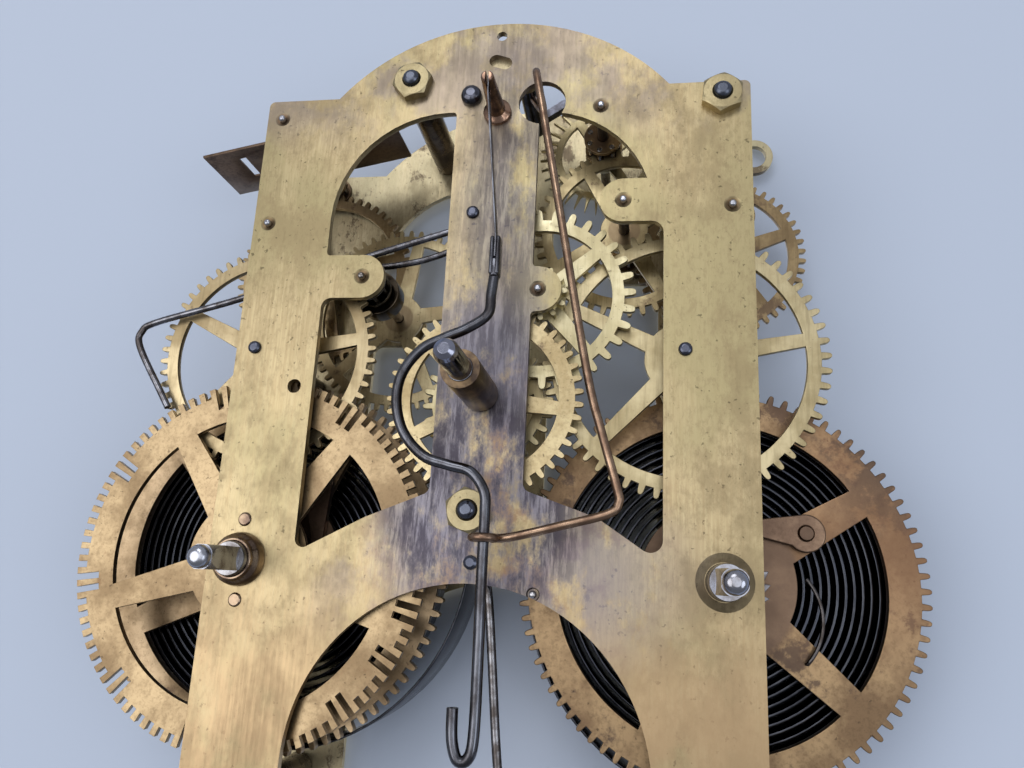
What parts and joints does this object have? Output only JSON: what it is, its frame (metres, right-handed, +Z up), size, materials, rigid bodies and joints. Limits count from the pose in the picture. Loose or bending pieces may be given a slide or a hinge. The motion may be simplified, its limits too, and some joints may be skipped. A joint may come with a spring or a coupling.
{
  "type": "spring-driven striking clock movement",
  "caption": "Mechanical clock movement with two brass plates, a time train and a striking train driven by coiled mainsprings, a wire pendulum rod and a count wheel",
  "frame": {"origin": "midway between the four ear holes, on the back plate's rear face, on the centre arbor's axis", "axes": "+X to the right seen from the dial side, +Y from the dial side to the rear, +Z up"},
  "size_m": [0.1632, 0.0669, 0.1616],
  "materials": {
    "plate_brass": "vertically brushed and stained",
    "wheel_brass": "satin",
    "old_brass": "dark and patinated",
    "nut_brass": "polished",
    "copper_brass": "dark copper-brown",
    "dark_steel": "blackened",
    "arbor_steel": "turned",
    "bright_steel": "polished",
    "spring_steel": "glossy black",
    "browned_steel": "copper-brown"
  },
  "bodies": {
    "frame": {"front_plate": "plate_brass", "back_plate": "plate_brass", "pillars": "old_brass", "pillar_nuts": "nut_brass", "suspension_post": "copper_brass", "winding_boss": "copper_brass", "verge_bridge": "old_brass", "bridge_rivet": "dark_steel", "verge_stud": "arbor_steel", "time_mainspring": "spring_steel", "strike_mainspring": "spring_steel"},
    "time_great": {"time_great_wheel": "old_brass", "time_click_spring": "bright_steel"},
    "time_click_body": {"time_click": "copper_brass"},
    "time_winder": {"time_winding_arbor": "bright_steel", "time_ratchet": "dark_steel"},
    "second": {"second_wheel": "wheel_brass", "second_pinion": "old_brass", "second_arbor": "arbor_steel"},
    "third": {"third_wheel": "wheel_brass", "third_pinion": "old_brass", "third_arbor": "arbor_steel"},
    "fourth": {"fourth_wheel": "wheel_brass", "fourth_pinion": "old_brass", "fourth_arbor": "arbor_steel"},
    "escape": {"escape_wheel": "wheel_brass", "escape_pinion": "old_brass", "escape_arbor": "arbor_steel"},
    "centre": {"centre_arbor": "dark_steel", "centre_wheel": "wheel_brass", "cannon_pinion": "wheel_brass"},
    "minute": {"minute_wheel": "wheel_brass", "minute_arbor": "arbor_steel"},
    "hour": {"hour_wheel": "wheel_brass"},
    "verge_body": {"verge": "dark_steel", "crutch": "browned_steel"},
    "pendulum": {"pendulum_rod": "dark_steel", "suspension_spring": "dark_steel"},
    "strike_great": {"strike_great_wheel": "old_brass", "count_wheel": "wheel_brass", "strike_click_spring": "bright_steel"},
    "strike_click_body": {"strike_click": "copper_brass"},
    "strike_winder": {"strike_winding_arbor": "dark_steel", "strike_ratchet": "dark_steel"},
    "strike_second": {"strike_second_wheel": "wheel_brass", "strike_second_pinion": "old_brass", "strike_second_arbor": "arbor_steel"},
    "locking": {"locking_wheel": "wheel_brass", "locking_pinion": "old_brass", "locking_arbor": "arbor_steel"},
    "warning": {"warning_wheel": "wheel_brass", "warning_pinion": "old_brass", "warning_arbor": "arbor_steel"},
    "fly_body": {"fly": "old_brass", "fly_pinion": "old_brass", "fly_arbor": "arbor_steel"},
    "levers": {"lever_arbor": "arbor_steel", "count_lever": "arbor_steel", "locking_lever": "arbor_steel"},
    "hammer_body": {"hammer": "old_brass"}
  },
  "joints": [
    {"name": "third_turn", "type": "hinge", "parent": "frame", "child": "third", "pos_m": [0.0469, -0.019, 0.03824], "axis": [0, 1, 0], "continuous": true},
    {"name": "second_turn", "type": "hinge", "parent": "frame", "child": "second", "pos_m": [0.0379, -0.019, 0.00917], "axis": [0, 1, 0], "continuous": true},
    {"name": "time_great_turn", "type": "hinge", "parent": "frame", "child": "time_great", "pos_m": [0.04432, -0.019, -0.03234], "axis": [0, 1, 0], "continuous": true},
    {"name": "centre_turn", "type": "hinge", "parent": "frame", "child": "centre", "pos_m": [0, -0.019, 0], "axis": [0, 1, 0], "continuous": true},
    {"name": "minute_turn", "type": "hinge", "parent": "frame", "child": "minute", "pos_m": [0.00994, -0.019, 0.02132], "axis": [0, 1, 0], "continuous": true},
    {"name": "hour_turn", "type": "hinge", "parent": "frame", "child": "hour", "pos_m": [0, -0.019, 0], "axis": [0, 1, 0], "continuous": true},
    {"name": "fourth_turn", "type": "hinge", "parent": "frame", "child": "fourth", "pos_m": [0.02609, -0.019, 0.03973], "axis": [0, 1, 0], "continuous": true},
    {"name": "escape_turn", "type": "hinge", "parent": "frame", "child": "escape", "pos_m": [0.02129, -0.019, 0.06087], "axis": [0, 1, 0], "continuous": true},
    {"name": "time_winding_turn", "type": "hinge", "parent": "time_great", "child": "time_winder", "pos_m": [0.04432, -0.019, -0.03234], "axis": [0, 1, 0], "continuous": true},
    {"name": "time_click_lift", "type": "hinge", "parent": "time_great", "child": "time_click_body", "pos_m": [0.06027, -0.019, -0.02276], "axis": [0, 1, 0], "range_deg": [0, 6]},
    {"name": "pendulum_swing", "type": "hinge", "parent": "frame", "child": "pendulum", "pos_m": [0, -0.019, 0.0601], "axis": [0, 1, 0], "range_deg": [-3, 3]},
    {"name": "verge_swing", "type": "hinge", "parent": "frame", "child": "verge_body", "pos_m": [0.00543, -0.019, 0.06896], "axis": [0, 1, 0], "range_deg": [-3, 3]},
    {"name": "locking_turn", "type": "hinge", "parent": "frame", "child": "locking", "pos_m": [-0.02596, -0.019, 0.02428], "axis": [0, 1, 0], "continuous": true},
    {"name": "strike_second_turn", "type": "hinge", "parent": "frame", "child": "strike_second", "pos_m": [-0.04686, -0.019, 0.00915], "axis": [0, 1, 0], "continuous": true},
    {"name": "strike_great_turn", "type": "hinge", "parent": "frame", "child": "strike_great", "pos_m": [-0.04432, -0.019, -0.03234], "axis": [0, 1, 0], "continuous": true},
    {"name": "warning_turn", "type": "hinge", "parent": "frame", "child": "warning", "pos_m": [-0.0476, -0.019, 0.03633], "axis": [0, 1, 0], "continuous": true},
    {"name": "fly_turn", "type": "hinge", "parent": "frame", "child": "fly_body", "pos_m": [-0.04739, -0.019, 0.06083], "axis": [0, 1, 0], "continuous": true},
    {"name": "strike_winding_turn", "type": "hinge", "parent": "strike_great", "child": "strike_winder", "pos_m": [-0.04432, -0.019, -0.03234], "axis": [0, 1, 0], "continuous": true},
    {"name": "strike_click_lift", "type": "hinge", "parent": "strike_great", "child": "strike_click_body", "pos_m": [-0.03559, -0.019, -0.01591], "axis": [0, 1, 0], "range_deg": [-6, 0]},
    {"name": "lever_lift", "type": "hinge", "parent": "frame", "child": "levers", "pos_m": [-0.0039, -0.019, 0.0377], "axis": [0, 1, 0], "range_deg": [0, 5]},
    {"name": "hammer_swing", "type": "hinge", "parent": "frame", "child": "hammer_body", "pos_m": [-0.0001, -0.019, -0.031], "axis": [0, 1, 0], "range_deg": [0, 8]}
  ],
  "couplings": [
    {"joint": "second_turn", "follows": "third_turn", "ratio": -0.14286},
    {"joint": "time_great_turn", "follows": "third_turn", "ratio": 0.020408},
    {"joint": "centre_turn", "follows": "third_turn", "ratio": 0.30769},
    {"joint": "minute_turn", "follows": "third_turn", "ratio": -0.096154},
    {"joint": "hour_turn", "follows": "third_turn", "ratio": 0.025641},
    {"joint": "fourth_turn", "follows": "third_turn", "ratio": -6},
    {"joint": "escape_turn", "follows": "third_turn", "ratio": 36},
    {"joint": "strike_second_turn", "follows": "locking_turn", "ratio": -0.125},
    {"joint": "strike_great_turn", "follows": "locking_turn", "ratio": 0.017857},
    {"joint": "warning_turn", "follows": "locking_turn", "ratio": -7},
    {"joint": "fly_turn", "follows": "locking_turn", "ratio": 56},
    {"joint": "verge_swing", "follows": "pendulum_swing", "ratio": 0.90771}
  ]
}
